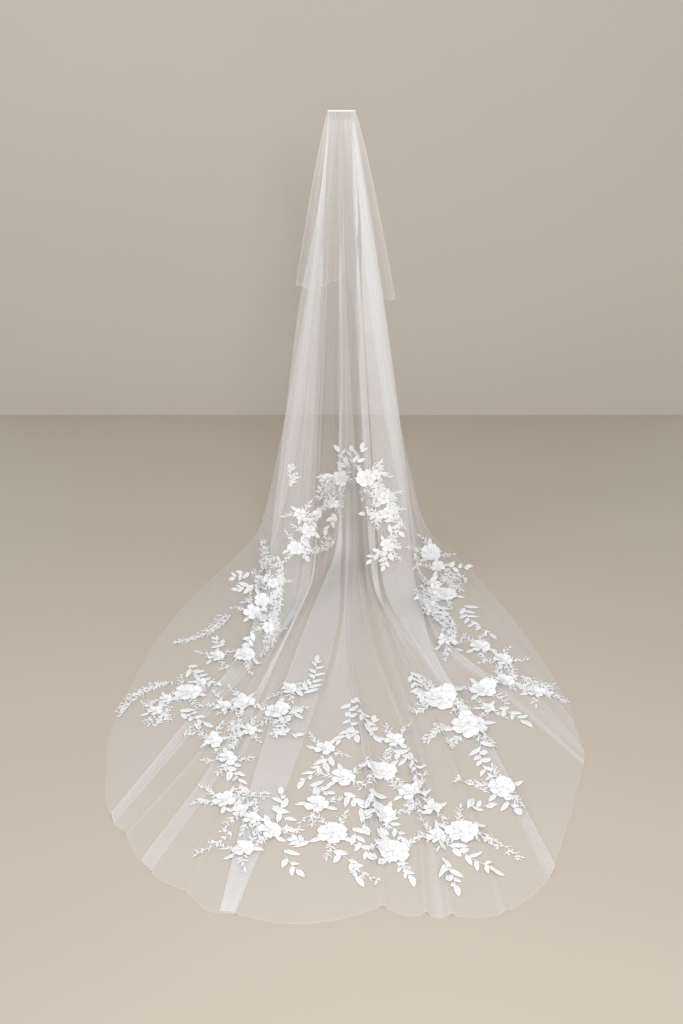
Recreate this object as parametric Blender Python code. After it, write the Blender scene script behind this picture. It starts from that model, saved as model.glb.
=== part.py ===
"""A two-tier bridal veil held by its comb, with a rounded train and lace applique.

Metres, +Z up. The origin is the middle of the comb's top edge. The long tier lands in front of the comb,
its train runs towards -Y, and the short tier hangs behind the comb, on its +Y side.
"""

import math
from collections import namedtuple

import bmesh
import bpy
from mathutils import Vector

# Driving sizes
DROP = 1.685
WALL = 0.0012
SEAM_GAP = 0.0003
LACE_THICKNESS = 0.0010
COMB_WIDTH = 0.095
COMB_BAR = 0.0045
COMB_TEETH = 16
TOOTH_LENGTH = 0.028
COMB_THICKNESS = 0.0015

# How the long tier leaves the comb and lands on the floor
PANEL_TOP = -0.002
PANEL_BACK = -0.0044
GATHER_DEPTH = 0.0024
GATHER_END = 0.16
SPREAD = 0.85
SLANT = 1.25
LANDING_REACH = 0.16
LIFT_START = 0.02
LIFT_END = 0.18
FOLD_START = 0.10
FOLD_END = 0.40
LEAST_PLEAT = 0.009
DRAPE_ENDS = (0.72, 1.03)
HEM_TURN = (1.35, 1.9)
FOOT = 0.010
FOOT_PER_HEIGHT = 0.30
FLOOR = -DROP + WALL / 2

# Places along a fold, from the comb at 0 through the landing at 1 to the hem at 2
STATIONS = (0.5, 1.0, 4 / 3, 5 / 3, 2.0)
HANGING_ROWS = (0, 0.015, 0.045, 0.10, 0.18, 0.30, 0.44, 0.58, 0.72, 0.84, 0.94)
TRAIN_ROWS = (0.03, 0.10, 0.18, 0.27, 0.37, 0.48, 0.59, 0.70, 0.81, 0.92, 1.0)

# One row for each main fold of the long tier, from its left edge to its right edge.
# land, near, far, hem: x and y where the fold meets the floor, a third and two thirds along it, and its end.
# width, height: at mid drop, landing, near, far and hem. lean is -1 where the fold's section is mirrored.
# cells: columns of cloth before the next fold. swell: how far the hem bows out over those columns.
Fold = namedtuple("Fold", "name kind lean land near far hem width height cells swell")
FOLDS = (
    Fold("left_edge", "edge", 1, (-0.335, 0.050), (-0.540, -0.400), (-0.665, -0.790), (-0.719, -1.190),
         (0, 0, 0, 0, 0), (0, 0, 0, 0, 0), 1, 0.010),
    Fold("left_drape", "drape", 1, (-0.268, -0.130), (-0.440, -0.560), (-0.590, -1.030), (-0.705, -1.440),
         (0.024, 0.034, 0.050, 0.070, 0.060), (0.040, 0.020, 0, 0, 0), 1, 0.012),
    Fold("left_column", "column", 1, (-0.242, -0.470), (-0.314, -0.840), (-0.462, -1.190), (-0.648, -1.650),
         (0.070, 0.106, 0.045, 0.020, 0.014), (0.036, 0.050, 0.036, 0.022, 0.009), 0, 0),
    Fold("left_rib", "ridge", 1, (-0.150, -0.410), (-0.262, -0.860), (-0.410, -1.310), (-0.600, -1.712),
         (0.005, 0.006, 0.008, 0.012, 0.012), (0.012, 0.012, 0.010, 0.014, 0.006), 1, 0.004),
    Fold("left_band", "pleat", 1, (-0.104, -0.310), (-0.213, -0.800), (-0.347, -1.360), (-0.525, -1.838),
         (0.010, 0.006, 0.012, 0.040, 0.050), (0.012, 0.009, 0.009, 0.010, 0.010), 1, 0.006),
    Fold("left_crease", "ridge", 1, (-0.050, -0.150), (-0.170, -0.750), (-0.287, -1.385), (-0.410, -1.925),
         (0.005, 0.005, 0.004, 0.008, 0.012), (0.018, 0.005, 0.003, 0.008, 0.005), 1, 0.010),
    Fold("broad_band", "pleat", 1, (-0.005, -0.060), (-0.075, -0.690), (-0.185, -1.350), (-0.292, -2.003),
         (0.014, 0.020, 0.116, 0.118, 0.040), (0.016, 0.018, 0.012, 0.010, 0.010), 2, 0.040),
    Fold("front_rib", "ridge", 1, (0.040, -0.085), (0.020, -0.740), (0.075, -1.360), (0.104, -1.985),
         (0.005, 0.006, 0.008, 0.018, 0.015), (0.008, 0.012, 0.003, 0.026, 0.011), 1, 0.012),
    Fold("centre_rib", "ridge", 1, (0.064, -0.115), (0.102, -0.740), (0.210, -1.350), (0.216, -2.009),
         (0.008, 0.011, 0.014, 0.011, 0.014), (0.022, 0.030, 0.014, 0.017, 0.014), 1, 0.004),
    Fold("right_inner", "ridge", 1, (0.106, -0.350), (0.172, -0.840), (0.248, -1.420), (0.279, -2.012),
         (0.010, 0.013, 0.018, 0.012, 0.014), (0.022, 0.030, 0.018, 0.015, 0.012), 1, 0.006),
    Fold("right_rib", "ridge", 1, (0.134, -0.420), (0.228, -0.900), (0.335, -1.420), (0.420, -1.998),
         (0.004, 0.006, 0.010, 0.017, 0.016), (0.008, 0.012, 0.006, 0.015, 0.008), 1, 0.006),
    Fold("right_column", "column", -1, (0.229, -0.420), (0.299, -0.860), (0.452, -1.360), (0.562, -1.858),
         (0.076, 0.076, 0.030, 0.036, 0.046), (0.034, 0.045, 0.030, 0.014, 0.011), 1, 0.006),
    Fold("right_wing", "ridge", 1, (0.292, -0.330), (0.352, -0.780), (0.530, -1.040), (0.733, -1.398),
         (0.008, 0.011, 0.022, 0.022, 0.018), (0.010, 0.022, 0.036, 0.022, 0.010), 1, 0.004),
    Fold("right_drape", "drape", -1, (0.290, -0.120), (0.430, -0.500), (0.590, -0.900), (0.738, -1.300),
         (0.018, 0.024, 0.024, 0.024, 0.016), (0.030, 0.015, 0, 0, 0), 1, 0.004),
    Fold("right_selvage", "ridge", 1, (0.322, -0.010), (0.482, -0.335), (0.622, -0.790), (0.737, -1.215),
         (0.006, 0.008, 0.013, 0.014, 0.010), (0.006, 0.010, 0.011, 0.009, 0.005), 0, 0),
    Fold("right_edge", "edge", 1, (0.342, 0.100), (0.515, -0.262), (0.660, -0.740), (0.742, -1.130),
         (0, 0, 0, 0, 0), (0, 0, 0, 0, 0), 0, 0),
)

# Sections of a fold from left to right: across in widths, then outwards in feet, and lift in heights.
Spot = namedtuple("Spot", "across feet lift")
SECTIONS = {
    "edge": (Spot(0, 0, 0),),
    "ridge": (Spot(-1, 0, 0), Spot(-0.3, 0, 0.85), Spot(0.25, 0, 1), Spot(1, 0, 0)),
    "pleat": (
        Spot(-0.5, -1, 0),
        Spot(0.5, 0, 0.10),
        Spot(0.5, 0, 0.42),
        Spot(-0.5, 0, 0.58),
        Spot(-0.5, 0, 1),
        Spot(0, 0, 1),
        Spot(0.5, 0, 0.92),
        Spot(0.5, 1, 0),
    ),
    "column": (
        Spot(0.3, 0, 0.10),
        Spot(0.3, 0, 0.42),
        Spot(-0.5, 0, 0.58),
        Spot(-0.5, 0, 1),
        Spot(0, 0, 1),
        Spot(0.5, 0, 0.92),
        Spot(0.5, 0.5, 0),
    ),
    "drape": (Spot(0.6, 0, 0), Spot(-0.7, 0, 0.35), Spot(-0.7, 0, 0.65), Spot(0.6, 0, 1)),
}

# The short tier hangs on the far side of the comb
SHORT_COLUMNS = 33
SHORT_ROWS = (0, 0.03, 0.09, 0.2, 0.35, 0.5, 0.66, 0.82, 0.92, 1.0)
SHORT_FRONT = 0.0044
SHORT_LEAN = 0.085
SHORT_WAVE = 0.017
SHORT_WAVES = 6.0
SHORT_HALF_WIDTH = (0.172, 0.205)
# across: from -1 at the left edge to 1 at the right edge. length: of the tier there.
SHORT_HEM = (
    (-1.0, 0.605),
    (-0.6, 0.630),
    (-0.1, 0.600),
    (0.12, 0.600),
    (0.3, 0.790),
    (0.6, 0.800),
    (0.75, 0.700),
    (1.0, 0.690),
)

# Lace: stretches of the panel that lie in one layer, from and to a spot of a fold
Stretch = namedtuple("Stretch", "start start_spot end end_spot")
STRETCHES = {
    "left_wing": Stretch("left_edge", 0, "left_column", 0),
    "left_front": Stretch("left_column", 3, "left_band", 0),
    "left_middle": Stretch("left_band", 4, "broad_band", 0),
    "front": Stretch("broad_band", 4, "right_column", 3),
    "right_wing": Stretch("right_column", 6, "right_edge", 0),
}
PETALS = 5
NOTCH = 0.66
STEM_WIDTH = 0.007
LEAF_LENGTH = 0.042
LEAF_PITCH = 0.048
LEAF_ANGLE = math.radians(42)
CUT_REACH = 0.30
CUT_FRONT = 0.80
HANGING_LACE_ROWS = (6, 13)
TRAIN_LACE_ROW = 11

# Each cluster lies on one stretch. x and y are places on the floor. In a hanging cluster y is a height
# above the floor. A spray runs from its first point to its tip.
Flower = namedtuple("Flower", "cluster x y radius")
Spray = namedtuple("Spray", "cluster x y tip_x tip_y")
Cluster = namedtuple("Cluster", "name stretch hanging")
CLUSTERS = (
    Cluster("lace_arch_top", "front", True),
    Cluster("lace_arch_right", "front", True),
    Cluster("lace_arch_left", "left_middle", True),
    Cluster("lace_arch_low", "left_front", True),
    Cluster("lace_left_top", "left_wing", False),
    Cluster("lace_left_outer", "left_wing", False),
    Cluster("lace_left_inner", "left_front", False),
    Cluster("lace_left_centre", "front", False),
    Cluster("lace_left_low", "left_middle", False),
    Cluster("lace_front_left", "front", False),
    Cluster("lace_front_right", "front", False),
    Cluster("lace_right_front", "front", False),
    Cluster("lace_right_inner", "front", False),
    Cluster("lace_right_low", "front", False),
    Cluster("lace_right_top", "right_wing", False),
    Cluster("lace_right_upper", "right_wing", False),
    Cluster("lace_right_outer", "right_wing", False),
)
FLOWERS = (
    Flower("lace_arch_top", 0.010, 0.345, 0.034),
    Flower("lace_arch_top", 0.080, 0.350, 0.036),
    Flower("lace_arch_right", 0.155, 0.345, 0.030),
    Flower("lace_arch_right", 0.172, 0.275, 0.032),
    Flower("lace_arch_right", 0.200, 0.305, 0.028),
    Flower("lace_arch_left", -0.045, 0.230, 0.028),
    Flower("lace_arch_low", -0.150, 0.320, 0.030),
    Flower("lace_arch_low", -0.165, 0.240, 0.032),
    Flower("lace_left_top", -0.345, -0.560, 0.040),
    Flower("lace_left_top", -0.350, -0.440, 0.036),
    Flower("lace_left_outer", -0.505, -1.050, 0.046),
    Flower("lace_left_outer", -0.434, -0.845, 0.033),
    Flower("lace_left_outer", -0.590, -1.085, 0.034),
    Flower("lace_left_inner", -0.320, -1.112, 0.038),
    Flower("lace_left_centre", -0.160, -1.130, 0.038),
    Flower("lace_left_low", -0.300, -1.600, 0.036),
    Flower("lace_left_low", -0.290, -1.760, 0.036),
    Flower("lace_front_left", -0.040, -1.341, 0.034),
    Flower("lace_front_left", 0.004, -1.476, 0.039),
    Flower("lace_front_left", -0.070, -1.593, 0.037),
    Flower("lace_front_left", -0.024, -1.712, 0.044),
    Flower("lace_front_right", 0.150, -1.302, 0.034),
    Flower("lace_front_right", 0.125, -1.449, 0.045),
    Flower("lace_front_right", 0.140, -1.620, 0.034),
    Flower("lace_front_right", 0.140, -1.782, 0.046),
    Flower("lace_right_front", 0.340, -1.704, 0.047),
    Flower("lace_right_front", 0.265, -1.640, 0.034),
    Flower("lace_right_inner", 0.325, -1.085, 0.060),
    Flower("lace_right_inner", 0.385, -1.232, 0.052),
    Flower("lace_right_low", 0.455, -1.525, 0.044),
    Flower("lace_right_top", 0.372, -0.110, 0.046),
    Flower("lace_right_top", 0.395, -0.216, 0.030),
    Flower("lace_right_upper", 0.394, -0.429, 0.045),
    Flower("lace_right_upper", 0.358, -0.500, 0.030),
    Flower("lace_right_outer", 0.380, -0.781, 0.035),
    Flower("lace_right_outer", 0.485, -0.781, 0.039),
    Flower("lace_right_outer", 0.558, -0.897, 0.036),
    Flower("lace_right_outer", 0.623, -1.025, 0.032),
)
SPRAYS = (
    Spray("lace_arch_top", 0.040, 0.355, 0.036, 0.450),
    Spray("lace_arch_right", 0.155, 0.360, 0.150, 0.440),
    Spray("lace_arch_right", 0.175, 0.250, 0.165, 0.170),
    Spray("lace_arch_left", -0.045, 0.250, -0.035, 0.320),
    Spray("lace_arch_low", -0.150, 0.330, -0.165, 0.420),
    Spray("lace_left_top", -0.352, -0.410, -0.385, -0.260),
    Spray("lace_left_top", -0.360, -0.480, -0.440, -0.420),
    Spray("lace_left_outer", -0.434, -0.845, -0.500, -0.640),
    Spray("lace_left_outer", -0.540, -1.030, -0.690, -1.170),
    Spray("lace_left_outer", -0.580, -1.100, -0.602, -1.247),
    Spray("lace_left_inner", -0.325, -1.130, -0.375, -1.030),
    Spray("lace_left_centre", -0.160, -1.150, -0.180, -1.290),
    Spray("lace_left_centre", -0.155, -1.110, -0.120, -0.990),
    Spray("lace_left_low", -0.300, -1.600, -0.270, -1.490),
    Spray("lace_left_low", -0.300, -1.716, -0.391, -1.782),
    Spray("lace_front_left", -0.035, -1.393, -0.100, -1.490),
    Spray("lace_front_left", 0.010, -1.740, 0.060, -1.860),
    Spray("lace_front_left", 0.000, -1.350, 0.045, -1.140),
    Spray("lace_front_right", 0.170, -1.346, 0.180, -1.500),
    Spray("lace_right_front", 0.338, -1.740, 0.393, -1.850),
    Spray("lace_right_front", 0.370, -1.700, 0.480, -1.770),
    Spray("lace_right_inner", 0.300, -1.060, 0.250, -0.960),
    Spray("lace_right_inner", 0.400, -1.260, 0.420, -1.370),
    Spray("lace_right_low", 0.440, -1.530, 0.350, -1.500),
    Spray("lace_right_top", 0.400, -0.216, 0.470, -0.300),
    Spray("lace_right_upper", 0.380, -0.480, 0.400, -0.650),
    Spray("lace_right_outer", 0.500, -0.760, 0.500, -0.580),
    Spray("lace_right_outer", 0.600, -1.020, 0.700, -1.100),
)

TULLE_COLOUR = (0.93, 0.92, 0.90, 1.0)
LACE_COLOUR = (0.97, 0.97, 0.96, 1.0)
COMB_COLOUR = (0.88, 0.88, 0.87, 1.0)


def clear_scene():
    for thing in list(bpy.data.objects):
        bpy.data.objects.remove(thing, do_unlink=True)


def new_collection(name):
    made = bpy.data.collections.new(name)
    bpy.context.scene.collection.children.link(made)
    return made


def principled(name, colour, roughness, metallic=0.0):
    made = bpy.data.materials.new(name)
    made.use_nodes = True
    shader = made.node_tree.nodes["Principled BSDF"]
    shader.inputs["Base Color"].default_value = colour
    shader.inputs["Roughness"].default_value = roughness
    shader.inputs["Metallic"].default_value = metallic
    return made


def smoothstep(low, high, value):
    t = min(1.0, max(0.0, (value - low) / (high - low)))
    return t * t * (3 - 2 * t)


def curve(knots, values, at):
    """A smooth curve through the values at their knots, held at both ends."""
    last = len(knots) - 1
    if at <= knots[0]:
        return values[0]
    if at >= knots[last]:
        return values[last]
    k = max(i for i in range(last) if knots[i] <= at)

    def slope(i):
        low, high = max(i - 1, 0), min(i + 1, last)
        return (values[high] - values[low]) / (knots[high] - knots[low])

    span = knots[k + 1] - knots[k]
    t = (at - knots[k]) / span
    rise = values[k + 1] - values[k]
    start, end = slope(k) * span, slope(k + 1) * span
    return values[k] + t * (start + t * (3 * rise - 2 * start - end + t * (start + end - 2 * rise)))


def measure(values, place):
    """A fold's width or height at a place: it grows from nothing at the comb to its value at mid drop."""
    if place < STATIONS[0]:
        return values[0] * (place / STATIONS[0]) ** 0.7
    return max(0.0, curve(STATIONS, values, place))


def track(fold, comb_x, place):
    """The middle of a fold as if the floor met the drop at a sharp corner."""
    if place <= 1:
        x = comb_x + (fold.land[0] - comb_x) * place**SPREAD
        y = PANEL_BACK + (fold.land[1] - PANEL_BACK) * place**SLANT
        return Vector((x, y, PANEL_TOP + (FLOOR - PANEL_TOP) * place))
    route = (fold.land, fold.near, fold.far, fold.hem)
    x, y = (curve(STATIONS[1:], [point[axis] for point in route], place) for axis in (0, 1))
    return Vector((x, y, FLOOR))


def floor_length(fold):
    route = (fold.land, fold.near, fold.far, fold.hem)
    return sum(math.dist(a, b) for a, b in zip(route, route[1:]))


def draped(fold, comb_x, place):
    """The track with its corner at the landing rounded, as the mean of the track over a reach."""
    run = floor_length(fold)
    along = place * DROP if place < 1 else DROP + (place - 1) * run
    reach = min(LANDING_REACH, along, DROP + run - along)
    total = Vector((0, 0, 0))
    weights = (1, 2, 3, 4, 3, 2, 1)
    for step, weight in enumerate(weights):
        at = max(0.0, along + reach * (step - 3) / 3)
        moved = at / DROP if at < DROP else 1 + (at - DROP) / run
        total += weight * track(fold, comb_x, moved)
    return total / sum(weights)


def outward(fold, comb_x, place):
    """The direction that a fold stands out in: towards -Y on the drop, and up on the floor."""
    step = 0.01
    way = draped(fold, comb_x, min(2, place + step)) - draped(fold, comb_x, max(0, place - step))
    return way.cross(Vector((1, 0, 0))).normalized()


def spots_of(fold):
    spots = SECTIONS[fold.kind]
    if fold.lean > 0:
        return spots
    return tuple(Spot(-s.across, -s.feet, s.lift) for s in reversed(spots))


def long_tier_columns():
    """How many columns the panel has, and the first column of each fold."""
    first, count = {}, 0
    for fold in FOLDS:
        first[fold.name] = count
        count += len(SECTIONS[fold.kind]) + fold.cells
    return count, first


def section(place):
    """One row of the panel's middle surface, from its left edge to its right edge."""
    count, first = long_tier_columns()
    spacing = (COMB_WIDTH - 2 * WALL) / (count - 1)
    lifted = smoothstep(LIFT_START, LIFT_END, place)
    folded = smoothstep(FOLD_START, FOLD_END, place)
    row = [None] * count
    spread, centres = [], []
    for fold in FOLDS:
        middle = first[fold.name] + (len(SECTIONS[fold.kind]) - 1) / 2
        spread.append((middle - (count - 1) / 2) * spacing)
        centres.append(draped(fold, spread[-1], place))
    turned = smoothstep(*HEM_TURN, place)
    for index, fold in enumerate(FOLDS):
        spots = spots_of(fold)
        middle = first[fold.name] + (len(spots) - 1) / 2
        comb_x, centre = spread[index], centres[index]
        before, after = centres[max(index - 1, 0)], centres[min(index + 1, len(FOLDS) - 1)]
        hem_way = Vector((after.x - before.x, after.y - before.y, 0)).normalized()
        way = Vector((1, 0, 0)).lerp(hem_way, turned).normalized()
        normal = outward(fold, comb_x, place)
        width = measure(fold.width, place)
        height = measure(fold.height, place)
        if fold.kind in ("pleat", "column"):
            height = max(height, LEAST_PLEAT)
        foot = FOOT + FOOT_PER_HEIGHT * height
        for step, spot in enumerate(spots):
            column = first[fold.name] + step
            flat = (column - middle) * spacing
            shaped = spot.across * width + spot.feet * foot
            if fold.kind == "drape":
                level = (step - 1.5) * width / 3
                shaped += (level - shaped) * smoothstep(*DRAPE_ENDS, place)
            across = flat + (shaped - flat) * folded
            lift = spot.lift * height * lifted
            row[column] = centre + way * across + normal * lift
    for fold, after in zip(FOLDS, FOLDS[1:]):
        start = first[fold.name] + len(SECTIONS[fold.kind]) - 1
        end = first[after.name]
        bow = Vector((row[start].x + row[end].x, row[start].y + row[end].y + 2, 0)).normalized()
        for column in range(start + 1, end):
            part = (column - start) / (end - start)
            grown = fold.swell * 4 * part * (1 - part) * max(0.0, place - 1) ** 3
            row[column] = row[start].lerp(row[end], part) + bow * grown
    gather = GATHER_DEPTH * max(0.0, 1 - place / GATHER_END) ** 2
    for column in range(count):
        row[column].y -= gather * (0, 1, 0, -1)[column % 4]
    return row


def long_tier_rows():
    return [section(a) for a in HANGING_ROWS] + [section(1 + b) for b in TRAIN_ROWS]


def short_tier_rows():
    """Rows of the short tier's middle surface, seen from its far side so that it faces out."""
    knots = [row[0] for row in SHORT_HEM]
    lengths = [row[1] for row in SHORT_HEM]
    rows = []
    for down in SHORT_ROWS:
        row = []
        for column in range(SHORT_COLUMNS):
            across = 1 - 2 * column / (SHORT_COLUMNS - 1)
            half = SHORT_HALF_WIDTH[0] if across < 0 else SHORT_HALF_WIDTH[1]
            comb_half = COMB_WIDTH / 2 - WALL
            x = across * (comb_half + (half - comb_half) * down**SPREAD)
            wave = math.sin(math.pi * SHORT_WAVES * across + 0.9 * math.sin(3 * across))
            y = SHORT_FRONT + SHORT_LEAN * down**1.2 + SHORT_WAVE * wave * down**0.8
            y += GATHER_DEPTH * (0, 1, 0, -1)[column % 4] * max(0.0, 1 - down / 0.3) ** 2
            row.append(Vector((x, y, PANEL_TOP - down * curve(knots, lengths, across))))
        rows.append(row)
    return rows


def normals_of(rows):
    """The outward direction at each point of a surface given as rows of points."""
    tall, wide = len(rows), len(rows[0])
    made = [[Vector((0, 0, 0)) for _ in range(wide)] for _ in range(tall)]
    for i in range(tall - 1):
        for j in range(wide - 1):
            corners = ((i, j), (i + 1, j), (i + 1, j + 1), (i, j + 1))
            a, b, c, d = (rows[r][s] for r, s in corners)
            facing = (c - a).cross(d - b)
            if facing.length:
                facing.normalize()
            for r, s in corners:
                made[r][s] += facing
    for row in made:
        for normal in row:
            normal.normalize()
    return made


def moved_out(rows, normals, distance):
    return [[p + n * distance for p, n in zip(line, ways)] for line, ways in zip(rows, normals)]


def wall_between(name, inner, outer):
    """A closed body between two surfaces that have the same rows and columns."""
    tall, wide = len(inner), len(inner[0])
    shape = bmesh.new()
    layers = [[[shape.verts.new(p) for p in line] for line in rows] for rows in (outer, inner)]

    def panel(layer, flip):
        for i in range(tall - 1):
            for j in range(wide - 1):
                a, b = layer[i][j], layer[i + 1][j]
                c, d = layer[i + 1][j + 1], layer[i][j + 1]
                for corners in ((a, b, c), (a, c, d)):
                    shape.faces.new(corners[::-1] if flip else corners)

    panel(layers[0], False)
    panel(layers[1], True)
    loop = [(0, j) for j in range(wide)]
    loop += [(i, wide - 1) for i in range(1, tall)]
    loop += [(tall - 1, j) for j in range(wide - 2, -1, -1)]
    loop += [(i, 0) for i in range(tall - 2, 0, -1)]
    for (i, j), (k, m) in zip(loop, loop[1:] + loop[:1]):
        top, under = layers
        shape.faces.new((top[i][j], top[k][m], under[k][m]))
        shape.faces.new((top[i][j], under[k][m], under[i][j]))
    bmesh.ops.recalc_face_normals(shape, faces=shape.faces)
    mesh = bpy.data.meshes.new(name)
    shape.to_mesh(mesh)
    shape.free()
    return bpy.data.objects.new(name, mesh)


def cloth_wall(name, rows, material, collection):
    normals = normals_of(rows)
    wall = wall_between(name, moved_out(rows, normals, -WALL / 2), moved_out(rows, normals, WALL / 2))
    wall.data.materials.append(material)
    wall.data.shade_smooth()
    collection.objects.link(wall)
    return wall


def make_comb(collection, material):
    """A bar with a row of teeth, as one flat outline with thickness."""
    half = COMB_WIDTH / 2
    pitch = COMB_WIDTH / COMB_TEETH
    root, tip = pitch * 0.30, pitch * 0.14
    points = [(-half, 0), (-half, -COMB_BAR)]
    for tooth in range(COMB_TEETH):
        x = -half + (tooth + 0.5) * pitch
        points += [(x - root, -COMB_BAR), (x - tip, -TOOTH_LENGTH)]
        points += [(x + tip, -TOOTH_LENGTH), (x + root, -COMB_BAR)]
    points += [(half, -COMB_BAR), (half, 0)]
    outline = bpy.data.curves.new("comb", "CURVE")
    outline.dimensions = "2D"
    outline.fill_mode = "BOTH"
    outline.extrude = COMB_THICKNESS / 2
    spline = outline.splines.new("POLY")
    spline.points.add(len(points) - 1)
    for point, (x, z) in zip(spline.points, points):
        point.co = (x, z, 0, 1)
    spline.use_cyclic_u = True
    comb = bpy.data.objects.new("comb", outline)
    comb.rotation_euler.x = math.pi / 2
    comb.data.materials.append(material)
    collection.objects.link(comb)


def flower_outline(flower):
    turn = 7 * flower.x + 5 * flower.y
    points = []
    for step in range(2 * PETALS):
        angle = turn + math.pi * step / PETALS
        radius = flower.radius * (1 if step % 2 == 0 else NOTCH)
        points.append((flower.x + radius * math.cos(angle), flower.y + radius * math.sin(angle)))
    return points


def strip_outline(start, end):
    way = Vector(end) - Vector(start)
    side = Vector((-way.y, way.x)).normalized() * STEM_WIDTH / 2
    return [Vector(start) - side, Vector(end) - side, Vector(end) + side, Vector(start) + side]


def spray_outline(spray):
    """A leafy spray as one outline, with leaf tips and notches up one side and down the other."""
    start, tip = Vector((spray.x, spray.y)), Vector((spray.tip_x, spray.tip_y))
    length = (tip - start).length
    way = (tip - start) / length
    side = Vector((-way.y, way.x))
    pairs = max(2, round(length / LEAF_PITCH))
    edge = []
    for leaf in range(pairs):
        notch = length * leaf / pairs
        reach = min(notch + LEAF_LENGTH * math.cos(LEAF_ANGLE), length)
        spread = LEAF_LENGTH * math.sin(LEAF_ANGLE) * (1 - 0.35 * leaf / pairs)
        edge += [(notch, STEM_WIDTH / 2), (reach, spread)]
    edge.append((length - STEM_WIDTH, STEM_WIDTH))
    end = [start + way * (length + LEAF_LENGTH / 3)]
    right = [start + way * along - side * across for along, across in edge]
    left = [start + way * along + side * across for along, across in reversed(edge)]
    return right + end + left


def cluster_outlines(name):
    """The flat outlines of a cluster's flowers, sprays and the stems that join them."""
    flowers = [f for f in FLOWERS if f.cluster == name]
    sprays = [s for s in SPRAYS if s.cluster == name]
    outlines = [flower_outline(f) for f in flowers]
    for a, b in zip(flowers, flowers[1:]):
        outlines.append(strip_outline((a.x, a.y), (b.x, b.y)))
    for spray in sprays:
        outlines.append(spray_outline(spray))
        near = min(flowers, key=lambda f: math.hypot(f.x - spray.x, f.y - spray.y))
        if math.hypot(near.x - spray.x, near.y - spray.y) > near.radius * NOTCH:
            outlines.append(strip_outline((near.x, near.y), (spray.x, spray.y)))
    return outlines


def prism_cutter(name, outlines, hanging, collection):
    """Overlapping prisms, one for each outline: upright on the train, and level through the drop."""
    shape = bmesh.new()
    for outline in outlines:
        if hanging:
            low = [shape.verts.new((x, CUT_REACH, h - DROP)) for x, h in outline]
            run = Vector((0, -CUT_REACH - CUT_FRONT, 0))
        else:
            low = [shape.verts.new((x, y, -DROP - CUT_REACH)) for x, y in outline]
            run = Vector((0, 0, 2 * CUT_REACH))
        moved = bmesh.ops.extrude_face_region(shape, geom=[shape.faces.new(low)])
        high = [v for v in moved["geom"] if isinstance(v, bmesh.types.BMVert)]
        bmesh.ops.translate(shape, verts=high, vec=run)
    bmesh.ops.recalc_face_normals(shape, faces=shape.faces)
    mesh = bpy.data.meshes.new(name)
    shape.to_mesh(mesh)
    shape.free()
    cutter = bpy.data.objects.new(name, mesh)
    cutter.hide_render = True
    cutter.display_type = "WIRE"
    collection.objects.link(cutter)
    return cutter


def keep_largest(mesh):
    """Drops the scraps that a cut leaves apart from the main body."""
    shape = bmesh.new()
    shape.from_mesh(mesh)
    left, groups = set(shape.verts), []
    while left:
        stack, group = [left.pop()], []
        while stack:
            vert = stack.pop()
            group.append(vert)
            for edge in vert.link_edges:
                other = edge.other_vert(vert)
                if other in left:
                    left.discard(other)
                    stack.append(other)
        groups.append(group)
    groups.sort(key=len)
    for group in groups[:-1]:
        bmesh.ops.delete(shape, geom=group, context="VERTS")
    shape.to_mesh(mesh)
    shape.free()


def column_of(name, spot):
    return long_tier_columns()[1][name] + spot


def make_lace(cluster, rows, normals, collection, cutters, material):
    """A cluster of applique: a layer of the panel's own points moved out, cut to the cluster's outline."""
    stretch = STRETCHES[cluster.stretch]
    first = column_of(stretch.start, stretch.start_spot)
    last = column_of(stretch.end, stretch.end_spot) + 1
    top, bottom = HANGING_LACE_ROWS if cluster.hanging else (TRAIN_LACE_ROW, len(rows))
    low = WALL / 2 + SEAM_GAP
    inner = [line[first:last] for line in moved_out(rows, normals, low)[top:bottom]]
    outer = [line[first:last] for line in moved_out(rows, normals, low + LACE_THICKNESS)[top:bottom]]
    layer = wall_between(cluster.name, inner, outer)
    collection.objects.link(layer)
    outlines = cluster_outlines(cluster.name)
    cutter = prism_cutter(cluster.name + "_cutter", outlines, cluster.hanging, cutters)
    cut = layer.modifiers.new("outline", "BOOLEAN")
    cut.operation = "INTERSECT"
    cut.object = cutter
    cut.use_self = True
    graph = bpy.context.evaluated_depsgraph_get()
    mesh = bpy.data.meshes.new_from_object(layer.evaluated_get(graph))
    layer.modifiers.remove(cut)
    layer.data = mesh
    keep_largest(mesh)
    mesh.materials.clear()
    mesh.materials.append(material)


def main():
    clear_scene()
    parts = new_collection("bridal_veil")
    cutters = new_collection("cutters")
    tulle = principled("tulle", TULLE_COLOUR, 0.55)
    lace = principled("lace", LACE_COLOUR, 0.75)
    comb = principled("comb_metal", COMB_COLOUR, 0.35, 0.4)
    make_comb(parts, comb)
    rows = long_tier_rows()
    cloth_wall("long_tier", rows, tulle, parts)
    cloth_wall("short_tier", short_tier_rows(), tulle, parts)
    normals = normals_of(rows)
    for cluster in CLUSTERS:
        make_lace(cluster, rows, normals, parts, cutters, lace)


main()
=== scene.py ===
"""The looks of a two-tier bridal veil: sheer tulle shells, floral lace applique and the comb that holds it.

Metres, +Z up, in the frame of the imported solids: the comb's top edge is the origin, the floor lies DROP
below it and the train runs towards -Y. The folds repeat the solids' table, at a finer spacing.
"""

import math
import random
from collections import namedtuple
from functools import partial

import bpy
import numpy as np
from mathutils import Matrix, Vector
from mathutils.bvhtree import BVHTree


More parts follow.
